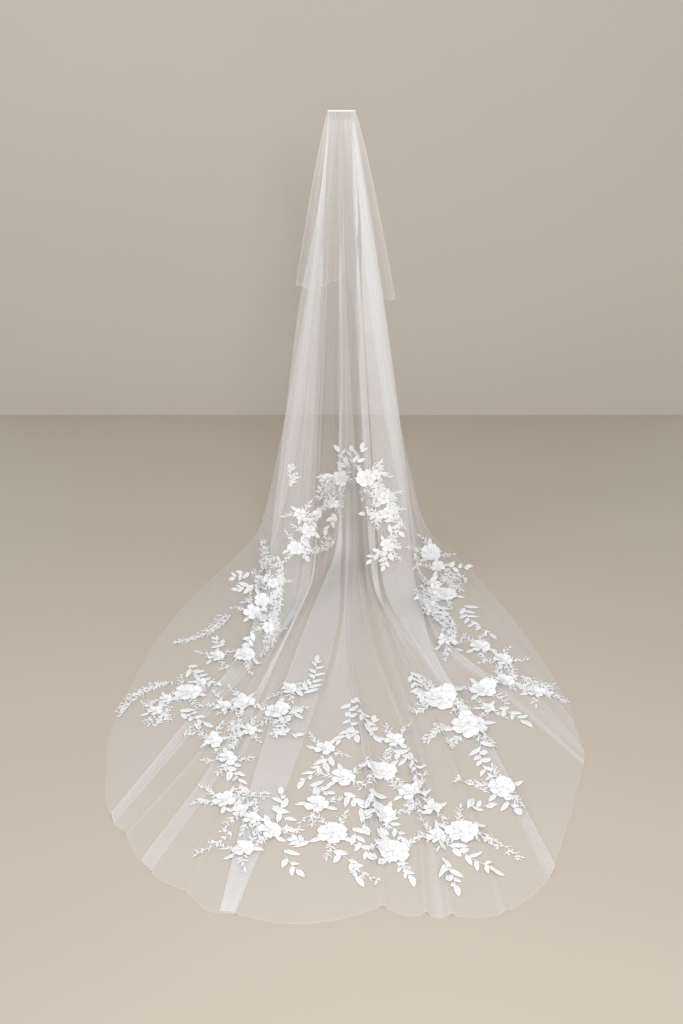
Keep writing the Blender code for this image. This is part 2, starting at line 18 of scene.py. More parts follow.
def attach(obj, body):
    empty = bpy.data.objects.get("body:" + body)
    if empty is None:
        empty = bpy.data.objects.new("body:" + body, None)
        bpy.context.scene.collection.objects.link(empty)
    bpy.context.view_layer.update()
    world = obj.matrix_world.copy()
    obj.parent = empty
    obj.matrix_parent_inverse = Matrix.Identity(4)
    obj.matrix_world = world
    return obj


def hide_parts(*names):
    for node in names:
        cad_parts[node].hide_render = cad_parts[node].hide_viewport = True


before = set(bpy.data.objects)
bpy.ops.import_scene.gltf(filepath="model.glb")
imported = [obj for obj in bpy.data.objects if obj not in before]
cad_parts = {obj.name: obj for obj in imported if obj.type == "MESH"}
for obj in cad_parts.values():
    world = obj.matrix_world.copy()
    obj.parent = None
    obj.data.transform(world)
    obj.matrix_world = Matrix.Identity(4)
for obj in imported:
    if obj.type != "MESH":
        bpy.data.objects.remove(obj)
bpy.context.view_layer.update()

# The camera stands in front of the train, above it, and looks down
CAMERA_AWAY = 4.155
CAMERA_HEIGHT = 2.25
CAMERA_TILT = math.radians(27)
FOCAL_PIXELS = 1150
FRAME_PIXELS = (683, 1024)
SENSOR = 24.0

# Driving sizes, as in the solids
DROP = 1.685
WALL = 0.0012
COMB_WIDTH = 0.095
COMB_BAR = 0.0045

# How the long tier leaves the comb and lands on the floor
PANEL_TOP = -0.002
PANEL_BACK = -0.0044
GATHER_DEPTH = 0.0024
GATHER_END = 0.16
SPREAD = 0.85
SLANT = 1.25
OUTER_SPREAD = 1.35
OUTER_FOLDS = ("left_edge", "left_drape", "right_drape", "right_selvage", "right_edge")
LANDING_REACH = 0.16
LIFT_START = 0.02
LIFT_END = 0.18
FOLD_START = 0.10
FOLD_END = 0.40
LEAST_PLEAT = 0.009
DRAPE_ENDS = (0.72, 1.03)
HEM_TURN = (1.35, 1.9)
FOOT = 0.010
FOOT_PER_HEIGHT = 0.30
FLOOR = -DROP + WALL / 2

# Places along a fold, from the comb at 0 through the landing at 1 to the hem at 2
STATIONS = (0.5, 1.0, 4 / 3, 5 / 3, 2.0)

# One row for each main fold of the long tier, from its left edge to its right edge.
# land, near, far, hem: x and y where the fold meets the floor, a third and two thirds along it, and its end.
# width, height: at mid drop, landing, near, far and hem. A pleat's lean is -1 where it opens to the right.
# cells: columns of cloth before the next fold. swell: how far the hem bows out over those columns.
Fold = namedtuple("Fold", "name kind lean land near far hem width height cells swell")
FOLDS = (
    Fold("left_edge", "edge", 1, (-0.335, 0.050), (-0.540, -0.400), (-0.665, -0.790), (-0.719, -1.190),
         (0, 0, 0, 0, 0), (0, 0, 0, 0, 0), 1, 0.010),
    Fold("left_drape", "drape", 1, (-0.268, -0.130), (-0.440, -0.560), (-0.590, -1.030), (-0.705, -1.440),
         (0.024, 0.034, 0.050, 0.070, 0.060), (0.040, 0.020, 0, 0, 0), 1, 0.012),
    Fold("left_column", "column", 1, (-0.206, -0.470), (-0.314, -0.840), (-0.462, -1.190), (-0.648, -1.650),
         (0.094, 0.142, 0.060, 0.040, 0.032), (0.036, 0.050, 0.026, 0.010, 0.005), 0, 0),
    Fold("left_rib", "ridge", 1, (-0.150, -0.410), (-0.262, -0.860), (-0.410, -1.310), (-0.600, -1.712),
         (0.005, 0.006, 0.008, 0.012, 0.012), (0.012, 0.012, 0.010, 0.014, 0.006), 1, 0.004),
    Fold("left_band", "pleat", 1, (-0.104, -0.310), (-0.213, -0.800), (-0.347, -1.360), (-0.525, -1.838),
         (0.010, 0.006, 0.012, 0.040, 0.050), (0.012, 0.009, 0.009, 0.010, 0.010), 1, 0.006),
    Fold("left_crease", "ridge", 1, (-0.050, -0.150), (-0.170, -0.750), (-0.287, -1.385), (-0.410, -1.925),
         (0.005, 0.005, 0.004, 0.008, 0.012), (0.018, 0.005, 0.003, 0.008, 0.005), 1, 0.010),
    Fold("broad_band", "pleat", 1, (-0.005, -0.060), (-0.075, -0.690), (-0.185, -1.350), (-0.292, -2.003),
         (0.014, 0.020, 0.116, 0.118, 0.040), (0.016, 0.018, 0.012, 0.010, 0.010), 2, 0.040),
    Fold("front_rib", "ridge", 1, (0.040, -0.085), (0.020, -0.740), (0.075, -1.360), (0.104, -1.985),
         (0.005, 0.006, 0.008, 0.018, 0.015), (0.008, 0.012, 0.003, 0.026, 0.011), 1, 0.012),
    Fold("centre_rib", "ridge", 1, (0.064, -0.115), (0.102, -0.740), (0.210, -1.350), (0.216, -2.009),
         (0.008, 0.011, 0.014, 0.011, 0.014), (0.022, 0.030, 0.014, 0.017, 0.014), 1, 0.004),
    Fold("right_inner", "ridge", 1, (0.106, -0.350), (0.172, -0.840), (0.248, -1.420), (0.279, -2.012),
         (0.010, 0.013, 0.018, 0.012, 0.014), (0.022, 0.030, 0.018, 0.015, 0.012), 1, 0.006),
    Fold("right_rib", "ridge", 1, (0.134, -0.420), (0.228, -0.900), (0.335, -1.420), (0.420, -1.998),
         (0.004, 0.006, 0.010, 0.017, 0.016), (0.008, 0.012, 0.006, 0.015, 0.008), 1, 0.006),
    Fold("right_column", "column", -1, (0.200, -0.420), (0.299, -0.860), (0.452, -1.360), (0.562, -1.858),
         (0.106, 0.140, 0.040, 0.036, 0.046), (0.034, 0.045, 0.026, 0.012, 0.009), 1, 0.006),
    Fold("right_wing", "ridge", 1, (0.292, -0.330), (0.352, -0.780), (0.530, -1.040), (0.733, -1.398),
         (0.008, 0.011, 0.022, 0.022, 0.018), (0.010, 0.022, 0.036, 0.022, 0.010), 1, 0.004),
    Fold("right_drape", "drape", -1, (0.290, -0.120), (0.430, -0.500), (0.590, -0.900), (0.738, -1.300),
         (0.018, 0.024, 0.024, 0.024, 0.016), (0.030, 0.015, 0, 0, 0), 1, 0.004),
    Fold("right_selvage", "ridge", 1, (0.322, -0.010), (0.482, -0.335), (0.622, -0.790), (0.737, -1.215),
         (0.006, 0.008, 0.013, 0.014, 0.010), (0.006, 0.010, 0.011, 0.009, 0.005), 0, 0),
    Fold("right_edge", "edge", 1, (0.342, 0.100), (0.515, -0.262), (0.660, -0.740), (0.742, -1.130),
         (0, 0, 0, 0, 0), (0, 0, 0, 0, 0), 0, 0),
)

# Sections of a fold from left to right: across in widths, outwards in feet, lift in heights.
Spot = namedtuple("Spot", "across feet lift")
SECTIONS = {
    "edge": (Spot(0, 0, 0),),
    "ridge": (Spot(-1, 0, 0), Spot(-0.3, 0, 0.85), Spot(0.25, 0, 1), Spot(1, 0, 0)),
    "pleat": (
        Spot(-0.5, -1, 0), Spot(0.5, 0, 0.10), Spot(0.5, 0, 0.42), Spot(-0.5, 0, 0.58),
        Spot(-0.5, 0, 1), Spot(0, 0, 1), Spot(0.5, 0, 0.92), Spot(0.5, 1, 0),
    ),
    "column": (
        Spot(0.3, 0, 0.10), Spot(0.3, 0, 0.42), Spot(-0.5, 0, 0.58), Spot(-0.5, 0, 1),
        Spot(0, 0, 1), Spot(0.5, 0, 0.92), Spot(0.5, 0.5, 0),
    ),
    "drape": (Spot(0.6, 0, 0), Spot(-0.7, 0, 0.35), Spot(-0.7, 0, 0.65), Spot(0.6, 0, 1)),
}

# The short tier hangs on the far side of the comb
SHORT_COLUMNS = 33
SHORT_FRONT = 0.0044
SHORT_LEAN = 0.085
SHORT_WAVE = 0.017
SHORT_WAVES = 6.0
SHORT_HALF_WIDTH = (0.172, 0.205)
# across: from -1 at the left edge to 1 at the right edge. length: of the tier there.
SHORT_HEM = (
    (-1.0, 0.640), (-0.6, 0.648), (-0.1, 0.616), (0.12, 0.600),
    (0.3, 0.790), (0.6, 0.800), (0.75, 0.700), (1.0, 0.690),
)

# Finer cloth for the render
FINE_PLACES = (0, 0.006, 0.014, 0.026, 0.045, 0.07, 0.10, 0.13, 0.16, 0.20)
HEM_PLACE = 1.9965
HANGING_STEP = 0.0145
TRAIN_STEP = 0.0135
CELL_PARTS = (2, 16)
CELL_SIZE = 0.0075
WIDTH_PLACE = 1.6
RIPPLE = 0.0016
RIPPLE_ON_TRAIN = 0.0010
SHORT_PARTS = 6
SHORT_FINE_ROWS = 60
SHORT_FULLNESS = 1.6
SHORT_LENGTH = 0.7
SHORT_WAVE_DRIFT = 0.9
HEM_RADIUS = 0.0007
SHORT_HEM_RADIUS = 0.00091
SHORT_HEM_ROW = 12
LONG_HEM_START = 0.10
TRAIN_START = 1.25
LEAST_GAP = 1e-6
MOST_PACKED = 60

# Tulle: how much one flat layer hides, and how far gathering packs more of it into one place. Streaks and
# ripples are uneven waves across the cloth: how many, the slowest and fastest, and the seed.
LAYER_HIDES = 0.145
GATHER_POWER = 0.75
MOST_LAYERS = 9
EDGE_ON = 0.30
STREAK = 0.22
LONG_STREAKS = (9, 4, 24, 8)
SHORT_STREAKS = (9, 4, 26, 21)
RIPPLES = (7, 6, 20, 3)
HEM_LAYERS = 0.9
SHADOW_SHARE = 0.75
# The drop hides less in its open middle than in its gathered sides and its centre panel. Each row gives,
# in millimetres, how far below the comb and, there, the x of the sides' inner edges and the panel's edges.
MIDDLE_SHARE = 0.10
HANGING_SHARE = 0.66
PANEL_LAYERS = 1.3
MIDDLE_SOFT = 0.002
CREST_LAYERS = 0.7
CREST_HEIGHT = 0.022
LEAST_LAYERS = 0.5
LEAST_SHORT_LAYERS = 0.6
Opening = namedtuple("Opening", "down left right panel_left panel_right")
OPEN_MIDDLE = (
    Opening(0, -45, 36, 12, 6),
    Opening(60, -47, 37, 12, 6),
    Opening(310, -58, 41, 8, 6),
    Opening(570, -71, 56, -8, 12),
    Opening(760, -85, 67, -4, 22),
    Opening(1000, -98, 62, -1, 36),
    Opening(1250, -110, 70, -12, 54),
    Opening(1430, -118, 76, -20, 62),
    Opening(1620, -125, 92, -30, 70),
)

# Lace
LACE_CLEAR = 0.0011
LACE_SOLID = 0.0005
BEAD_RADIUS = 0.0012
STEM_WIDTH = 0.0016
LACE_SPAN = 0.030
LACE_FLOOR = FLOOR + 0.001
LACE_SEED = 100
PETAL_ROWS = 7
PETAL_HALF = 5
# Painted shade at each petal's side edges, where it meets its neighbours
PETAL_EDGE_SHADE = 0.55
BEAD_SLOPES = (0, 0.85, 1.45)
BEAD_SIDES = 6
WRAP_TURNS = 46
WRAP_SIDES = 8
# How a motif lies: which of its depths is its level, and how far it may rise before that and sink behind it
TRAIN_LAY = (0.33, 0.050, 0.014)
UPRIGHT_LAY = (0.05, 0.0, 0.012)
AROUND = ((0.011, 0), (-0.011, 0), (0, 0.011), (0, -0.011))

# One row for each flower or spray, in millimetres: x and y where it lies on the train. Those of an upright
# cluster give x and the height above the floor, on the upright plane through the comb as the camera sees it.
Bloom = namedtuple("Bloom", "x y radius")
Twig = namedtuple("Twig", "kind x y tip_x tip_y")
Leafy, Fine, Budded = (partial(Twig, kind) for kind in ("leaf", "fine", "bud"))
Cluster = namedtuple("Cluster", "node upright blooms twigs")
CLUSTERS = (
    Cluster("lace_arch_top", True,
        (Bloom(-2, 283, 38), Bloom(96, 284, 42), Bloom(138, 296, 23)),
        (Leafy(36, 325, 40, 398), Leafy(22, 320, -10, 400), Leafy(58, 325, 78, 408),
         Fine(126, 280, 157, 327), Fine(133, 290, 189, 290))),
    Cluster("lace_arch_right", True,
        (Bloom(171, 192, 27), Bloom(185, 128, 27), Bloom(156, 119, 21), Bloom(191, -24, 32)),
        (Fine(115, 268, 213, 201), Fine(150, 250, 140, 170), Fine(204, 192, 255, 69),
         Leafy(173, 119, 99, 124), Leafy(173, 96, 235, 41), Fine(198, 41, 237, -19),
         Leafy(192, -43, 126, -90), Leafy(200, -52, 177, -119))),
    Cluster("lace_arch_left", True,
        (Bloom(-34, 174, 25),),
        (Leafy(-10, 294, -66, 277), Fine(2, 277, -46, 187), Fine(-30, 260, -80, 200), Fine(10, 250, 6, 180),
         Fine(-46, 165, -95, 133), Leafy(-39, 133, -63, 55))),
    Cluster("lace_arch_low", True,
        (Bloom(-168, 124, 27), Bloom(-133, 41, 29), Bloom(-192, -34, 34)),
        (Leafy(-95, 160, -145, 69), Leafy(-169, 106, -113, 41), Fine(-27, 9, -126, -52),
         Leafy(-170, 4, -147, -71), Fine(-199, 245, -209, 329))),
    Cluster("lace_left_top", True,
        (Bloom(-376, -343, 39), Bloom(-336, -284, 36), Bloom(-287, -201, 26), Bloom(-314, -419, 28)),
        (Fine(-267, -71, -289, -284), Fine(-254, -225, -316, -485), Fine(-282, -343, -344, -562),
         Leafy(-306, -148, -384, -225), Fine(-331, -148, -327, -20), Leafy(-377, -153, -445, -176),
         Leafy(-366, -210, -434, -230), Leafy(-384, -439, -438, -536), Fine(-345, -240, -370, -160))),
    Cluster("lace_left_outer", False,
        (Bloom(-332, -867, 41), Bloom(-434, -843, 31), Bloom(-505, -1052, 46), Bloom(-599, -1155, 26),
         Bloom(-573, -1090, 23), Bloom(-472, -996, 23)),
        (Leafy(-402, -774, -444, -736), Fine(-409, -571, -579, -755), Leafy(-527, -897, -424, -1007),
         Fine(-566, -990, -703, -1170), Leafy(-523, -1144, -436, -1212), Fine(-585, -1232, -592, -1090),
         Budded(-486, -1297, -447, -1222))),
    Cluster("lace_left_inner", False,
        (Bloom(-320, -1112, 41), Bloom(-380, -1128, 29), Bloom(-398, -1307, 34), Bloom(-290, -1257, 25),
         Bloom(-343, -1398, 30)),
        (Leafy(-349, -1430, -292, -1516), Fine(-330, -1190, -330, -1340))),
    Cluster("lace_left_centre", False,
        (Bloom(-204, -1160, 42), Bloom(-173, -1046, 30)),
        (Leafy(-132, -1090, -87, -891), Leafy(-137, -1139, -164, -1196), Leafy(-220, -1282, -145, -1287),
         Fine(-190, -1200, -200, -1290))),
    Cluster("lace_left_low", False,
        (Bloom(-342, -1576, 36), Bloom(-289, -1623, 26), Bloom(-252, -1664, 25), Bloom(-197, -1704, 35),
         Bloom(-269, -1782, 33)),
        (Fine(-317, -1533, -222, -1555), Budded(-303, -1700, -393, -1793), Leafy(-157, -1778, -119, -1849),
         Leafy(-196, -1614, -153, -1684), Leafy(-170, -1640, -175, -1560))),
    Cluster("lace_front_left", False,
        (Bloom(-51, -1341, 34), Bloom(4, -1476, 39), Bloom(-70, -1593, 37), Bloom(-24, -1712, 44)),
        (Leafy(34, -1090, 45, -1277), Leafy(46, -1170, 101, -1277), Leafy(36, -1227, -29, -1307),
         Leafy(-29, -1374, -111, -1489), Leafy(-98, -1507, -42, -1538), Budded(-87, -1639, -121, -1700),
         Leafy(-81, -1743, -131, -1735), Leafy(1, -1538, 63, -1684), Leafy(29, -1684, 72, -1789),
         Leafy(-29, -1778, 39, -1874), Budded(23, -1823, 94, -1892))),
    Cluster("lace_front_right", False,
        (Bloom(163, -1302, 34), Bloom(121, -1449, 45), Bloom(200, -1542, 35), Bloom(124, -1635, 34),
         Bloom(140, -1782, 46)),
        (Leafy(101, -1277, 103, -1202), Leafy(152, -1346, 220, -1489), Leafy(108, -1684, 182, -1870),
         Leafy(77, -1551, 168, -1728))),
    Cluster("lace_right_front", False,
        (Bloom(333, -1704, 47), Bloom(259, -1614, 29), Bloom(262, -1728, 30)),
        (Leafy(355, -1623, 420, -1598), Leafy(290, -1755, 397, -1849), Budded(388, -1712, 484, -1800),
         Leafy(271, -1819, 299, -1906))),
    Cluster("lace_right_inner", False,
        (Bloom(322, -1085, 62), Bloom(468, -1035, 46), Bloom(399, -1232, 60), Bloom(473, -1139, 26)),
        (Leafy(232, -938, 260, -1074), Leafy(502, -1133, 577, -1202), Fine(340, -1222, 262, -1307),
         Leafy(431, -1317, 446, -1480))),
    Cluster("lace_right_low", False,
        (Bloom(470, -1525, 44),),
        (Budded(432, -1546, 340, -1503), Leafy(470, -1560, 500, -1620))),
    Cluster("lace_right_top", True,
        (Bloom(369, -57, 44), Bloom(401, -123, 30)),
        (Fine(359, -27, 323, 20), Leafy(440, -119, 517, -119), Fine(425, -165, 508, -176),
         Leafy(362, -190, 405, -205))),
    Cluster("lace_right_upper", False,
        (Bloom(394, -429, 45), Bloom(345, -437, 30), Bloom(327, -500, 24)),
        (Fine(305, -295, 323, -591), Fine(287, -465, 350, -618), Fine(358, -515, 397, -743),
         Fine(383, -279, 458, -393), Leafy(296, -494, 313, -578), Leafy(355, -508, 394, -698),
         Leafy(459, -501, 530, -698))),
    Cluster("lace_right_outer", False,
        (Bloom(370, -781, 35), Bloom(485, -781, 39), Bloom(553, -862, 36), Bloom(545, -985, 36),
         Bloom(640, -1050, 32)),
        (Fine(539, -824, 579, -967), Fine(552, -996, 728, -1096), Fine(600, -960, 690, -1030))),
)

# How each kind of spray is built: leaf length and width, gap between pairs, and buds at the leaf tips
Kind = namedtuple("Kind", "leaf wide gap buds")
KINDS = {
    "leaf": Kind(0.051, 0.0195, 0.035, False),
    "fine": Kind(0.023, 0.0070, 0.0115, True),
    "bud": Kind(0.017, 0.0075, 0.020, True),
}

# Studio
FLOOR_Z = -DROP - 0.0005
WALL_Y = 1.365
WALL_SIZE = (3.58, 2.6)


def smoothstep(low, high, value):
    t = min(1.0, max(0.0, (value - low) / (high - low)))
    return t * t * (3 - 2 * t)


def between(low, rise, start, end, t):
    """A point part t of the way up the rise from low, on a curve with these tangents at its two ends."""
    return low + t * (start + t * (3 * rise - 2 * start - end + t * (start + end - 2 * rise)))


def away(x, y, angle, reach):
    """The point at this angle and reach from x and y."""
    return x + reach * math.cos(angle), y + reach * math.sin(angle)


def curve(knots, values, at):
    """A smooth curve through the values at their knots, held at both ends."""
    last = len(knots) - 1
    if at <= knots[0]:
        return values[0]
    if at >= knots[last]:
        return values[last]
    k = max(i for i in range(last) if knots[i] <= at)

    def slope(i):
        low, high = max(i - 1, 0), min(i + 1, last)
        return (values[high] - values[low]) / (knots[high] - knots[low])

    span = knots[k + 1] - knots[k]
    t = (at - knots[k]) / span
    rise = values[k + 1] - values[k]
    return between(values[k], rise, slope(k) * span, slope(k + 1) * span, t)


def measure(values, place):
    """A fold's width or height at a place: it grows from nothing at the comb to its value at mid drop."""
    if place < STATIONS[0]:
        return values[0] * (place / STATIONS[0]) ** 0.7
    return max(0.0, curve(STATIONS, values, place))


def route(fold):
    return fold.land, fold.near, fold.far, fold.hem


def track(fold, comb_x, place):
    """The middle of a fold as if the floor met the drop at a sharp corner."""
    if place <= 1:
        spread = OUTER_SPREAD if fold.name in OUTER_FOLDS else SPREAD
        x = comb_x + (fold.land[0] - comb_x) * place**spread
        y = PANEL_BACK + (fold.land[1] - PANEL_BACK) * place**SLANT
        return Vector((x, y, PANEL_TOP + (FLOOR - PANEL_TOP) * place))
    x, y = (curve(STATIONS[1:], [point[axis] for point in route(fold)], place) for axis in (0, 1))
    return Vector((x, y, FLOOR))


def floor_length(fold):
    points = route(fold)
    return sum(math.dist(a, b) for a, b in zip(points, points[1:]))


def draped(fold, comb_x, place):
    """The track with its corner at the landing rounded, as the mean of the track over a reach."""
    run = floor_length(fold)
    along = place * DROP if place < 1 else DROP + (place - 1) * run
    reach = min(LANDING_REACH, along, DROP + run - along)
    total = Vector((0, 0, 0))
    weights = (1, 2, 3, 4, 3, 2, 1)
    for step, weight in enumerate(weights):
        at = max(0.0, along + reach * (step - 3) / 3)
        moved = at / DROP if at < DROP else 1 + (at - DROP) / run
        total += weight * track(fold, comb_x, moved)
    return total / sum(weights)


def outward(fold, comb_x, place):
    """The direction that a fold stands out in: towards -Y on the drop, and up on the floor."""
    step = 0.01
    way = draped(fold, comb_x, min(2, place + step)) - draped(fold, comb_x, max(0, place - step))
    return way.cross(Vector((1, 0, 0))).normalized()


def spots_of(fold):
    spots = SECTIONS[fold.kind]
    if fold.lean > 0:
        return spots
    return tuple(Spot(-s.across, -s.feet, s.lift) for s in reversed(spots))


def long_tier_columns():
    """How many columns the panel has, and the first column of each fold."""
    first, count = {}, 0
    for fold in FOLDS:
        first[fold.name] = count
        count += len(SECTIONS[fold.kind]) + fold.cells
    return count, first


def section(place):
    """One row of the panel's middle surface, from its left edge to its right edge."""
    count, first = long_tier_columns()
    spacing = (COMB_WIDTH - 2 * WALL) / (count - 1)
    lifted = smoothstep(LIFT_START, LIFT_END, place)
    folded = smoothstep(FOLD_START, FOLD_END, place)
    row = [None] * count
    spread, centres = [], []
    for fold in FOLDS:
        middle = first[fold.name] + (len(SECTIONS[fold.kind]) - 1) / 2
        spread.append((middle - (count - 1) / 2) * spacing)
        centres.append(draped(fold, spread[-1], place))
    turned = smoothstep(*HEM_TURN, place)
    for index, fold in enumerate(FOLDS):
        spots = spots_of(fold)
        middle = first[fold.name] + (len(spots) - 1) / 2
        comb_x, centre = spread[index], centres[index]
        before, after = centres[max(index - 1, 0)], centres[min(index + 1, len(FOLDS) - 1)]
        hem_way = Vector((after.x - before.x, after.y - before.y, 0)).normalized()
        way = Vector((1, 0, 0)).lerp(hem_way, turned).normalized()
        normal = outward(fold, comb_x, place)
        width = measure(fold.width, place)
        height = measure(fold.height, place)
        if fold.kind in ("pleat", "column"):
            height = max(height, LEAST_PLEAT)
        foot = FOOT + FOOT_PER_HEIGHT * height
        for step, spot in enumerate(spots):
            column = first[fold.name] + step
            flat = (column - middle) * spacing
            shaped = spot.across * width + spot.feet * foot
            if fold.kind == "drape":
                level = (step - 1.5) * width / 3
                shaped += (level - shaped) * smoothstep(*DRAPE_ENDS, place)
            across = flat + (shaped - flat) * folded
            lift = spot.lift * height * lifted
            row[column] = centre + way * across + normal * lift
    for fold, after in zip(FOLDS, FOLDS[1:]):
        start = first[fold.name] + len(SECTIONS[fold.kind]) - 1
        end = first[after.name]
        bow = Vector((row[start].x + row[end].x, row[start].y + row[end].y + 2, 0)).normalized()
        for column in range(start + 1, end):
            part = (column - start) / (end - start)
            grown = fold.swell * 4 * part * (1 - part) * max(0.0, place - 1) ** 3
            row[column] = row[start].lerp(row[end], part) + bow * grown
    gather = GATHER_DEPTH * max(0.0, 1 - place / GATHER_END) ** 2
    for column in range(count):
        row[column].y -= gather * (0, 1, 0, -1)[column % 4]
    return row


def places():
    """Places of the fine rows, from the comb to the hem."""
    hanging = list(FINE_PLACES)
    while hanging[-1] < 1 - HANGING_STEP:
        hanging.append(hanging[-1] + HANGING_STEP)
    count = round(1 / TRAIN_STEP)
    return hanging + [1 + step / count for step in range(1, count)] + [HEM_PLACE, 2.0]


def finer(row, parts):
    """The row with each gap split into parts, along curves that don't overshoot."""
    points = np.array(row)
    steps = np.diff(points, axis=0)
    lengths = np.maximum(np.linalg.norm(steps, axis=1), 1e-9)[:, None]
    units = steps / lengths
    turns = units[1:] + units[:-1]
    turns /= np.maximum(np.linalg.norm(turns, axis=1), 1e-9)[:, None]
    inner = turns * np.minimum(lengths[1:], lengths[:-1])
    tangents = np.concatenate([steps[:1], inner, steps[-1:]])
    found = []
    for gap, count in enumerate(parts):
        for step in range(count):
            found.append(between(points[gap], steps[gap], tangents[gap], tangents[gap + 1], step / count))
    found.append(points[-1])
    return np.array(found)


def split_counts():
    """How many parts each gap between two columns has."""
    row = np.array(section(WIDTH_PLACE))
    gaps = np.linalg.norm(np.diff(row, axis=0), axis=1)
    return [int(min(CELL_PARTS[1], max(CELL_PARTS[0], math.ceil(gap / CELL_SIZE)))) for gap in gaps]


def grid_normals(grid):
    along = np.gradient(grid, axis=0)
    across = np.gradient(grid, axis=1)
    normals = np.cross(across, along)
    return normals / np.maximum(np.linalg.norm(normals, axis=2), 1e-12)[:, :, None]


def flat_widths(grid, rows):
    """The width of cloth between neighbouring columns: the widest that it is over these rows."""
    gaps = np.linalg.norm(np.diff(grid, axis=1), axis=2)
    return np.percentile(gaps[rows], 80, axis=0)


def waves(across, along, count, slowest, fastest, seed):
    """Uneven waves across the cloth that drift slowly along it, between about -1 and 1."""
    chosen = np.random.default_rng(seed)
    total = np.zeros(np.broadcast(across, along).shape)
    for _ in range(count):
        turns = chosen.uniform(slowest, fastest)
        drift = chosen.uniform(-0.9, 0.9)
        phase = chosen.uniform(0, 2 * math.pi)
        total += np.cos(2 * math.pi * turns * across + drift * 2 * along + phase)
    return total / count**0.5 / 1.4


def rippled(grid, across, along, size):
    normals = grid_normals(grid)
    return grid + normals * (size * waves(across, along, *RIPPLES))[:, :, None]


def hidden_share(grid, layers, toward):
    """How much of what lies behind is hidden at each point, seen from the front or from above."""
    facing = np.abs((grid_normals(grid) * toward).sum(axis=2))
    return 1 - (1 - LAYER_HIDES) ** (layers / np.maximum(facing, EDGE_ON))


def add_object(name, data, place=(0, 0, 0), turned=(0, 0, 0)):
    obj = bpy.data.objects.new(name, data)
    obj.location = place
    obj.rotation_euler = turned
    bpy.context.scene.collection.objects.link(obj)
    return obj


def mesh_object(name, points, faces, **placed):
    """An object of these points and faces, shaded smooth."""
    mesh = bpy.data.meshes.new(name)
    mesh.from_pydata(points, [], faces)
    mesh.polygons.foreach_set("use_smooth", [True] * len(mesh.polygons))
    return add_object(name, mesh, **placed)


def shell(name, grid, share, across, along):
    """A sheet of quads through the grid, with its share of hiding and the cut of the cloth as its UV map."""
    rows, columns, _ = grid.shape
    index = np.arange(rows * columns).reshape(rows, columns)
    corners = (index[:-1, :-1], index[1:, :-1], index[1:, 1:], index[:-1, 1:])
    quads = np.stack(corners, axis=-1).reshape(-1, 4)
    obj = mesh_object(name, grid.reshape(-1, 3).tolist(), quads.tolist())
    mesh = obj.data
    attribute = mesh.attributes.new("hides", "FLOAT", "POINT")
    attribute.data.foreach_set("value", share.reshape(-1).astype(np.float32))
    layer = mesh.uv_layers.new(name="cut")
    flat = np.stack([across / across.max(), 1 - along / along.max()], axis=-1).reshape(-1, 2)
    loops = np.empty(len(mesh.loops), np.int32)
    mesh.loops.foreach_get("vertex_index", loops)
    layer.data.foreach_set("uv", flat[loops].reshape(-1).astype(np.float32))
    mesh.update()
    return obj


def tube_faces(rings, sides):
    """The quads between this many rings and the next ones."""
    faces = []
    for ring in range(rings):
        for step in range(sides):
            low, after = ring * sides + step, ring * sides + (step + 1) % sides
            faces.append((low, after, after + sides, low + sides))
    return faces


def thread(name, path, radius, sides=5):
    """A thin round thread along the points of the path."""
    path = [Vector(point) for point in path]
    verts = []
    for index, point in enumerate(path):
        ahead = path[min(index + 1, len(path) - 1)] - path[max(index - 1, 0)]
        side = ahead.cross(Vector((0.1, 0.2, 1))).normalized()
        up = side.cross(ahead).normalized()
        for step in range(sides):
            angle = 2 * math.pi * step / sides
            verts.append(point + radius * (math.cos(angle) * side + math.sin(angle) * up))
    return mesh_object(name, verts, tube_faces(len(path) - 1, sides))


def hem_thread(name, grid, start, radius):
    """A thread down the left edge from this row, along the hem and up the right edge."""
    outline = list(grid[start:, 0]) + list(grid[-1, 1:]) + list(grid[start:-1, -1][::-1])
    return thread(name, outline, radius)


def summed(steps):
    return np.concatenate([[0], np.cumsum(steps)])


def packed_layers(grid, widths):
    """How many layers of cloth of these flat widths are gathered into each point's place."""
    gaps = np.linalg.norm(np.diff(grid, axis=1), axis=2)
    packed = np.clip(widths / np.maximum(gaps, LEAST_GAP), 1, MOST_PACKED) ** GATHER_POWER
    inner = (packed[:, 1:] + packed[:, :-1]) / 2
    layers = np.concatenate([packed[:, :1], inner, packed[:, -1:]], axis=1)
    return np.minimum(layers, MOST_LAYERS)


def hem_layers(layers):
    """Adds what the turned hem and side edges hide."""
    for edge in (layers[-1], layers[:, 0], layers[:, -1]):
        edge += HEM_LAYERS


def drop_parts(grid):
    """How far each point lies in the gathered sides, and how far in the centre panel, both from 0 to 1."""
    height = -grid[:, :, 2]
    heights = [row.down / 1000 for row in OPEN_MIDDLE]

    def edge(column):
        return np.interp(height, heights, [getattr(row, column) / 1000 for row in OPEN_MIDDLE])

    x = grid[:, :, 0]
    sides = np.maximum(edge("left") - x, x - edge("right"))
    panel = np.minimum(x - edge("panel_left"), edge("panel_right") - x)
    soft = MIDDLE_SOFT
    return [np.clip((reach + soft) / (2 * soft), 0, 1) for reach in (sides, panel)]


def long_layers(grid, layers, across, along, at, hanging):
    """The long tier's layers with its open middle, its panel, its streaks, its crests and its hem."""
    side, panel = drop_parts(grid)
    layers *= 1 - hanging * (1 - MIDDLE_SHARE * (1 - side) - HANGING_SHARE * side)
    layers *= 1 + STREAK * (0.35 + 0.65 * hanging) * waves(across, along * 0.5, *LONG_STREAKS)
    layers = np.maximum(layers, LEAST_LAYERS + 0.1 * (1 - hanging)) + PANEL_LAYERS * panel * hanging
    raised = np.clip((grid[:, :, 2] - FLOOR) / CREST_HEIGHT, 0, 1)
    layers += CREST_LAYERS * (raised * np.clip((at - 1.1) / 0.1, 0, 1)[:, None])
    hem_layers(layers)
    return layers


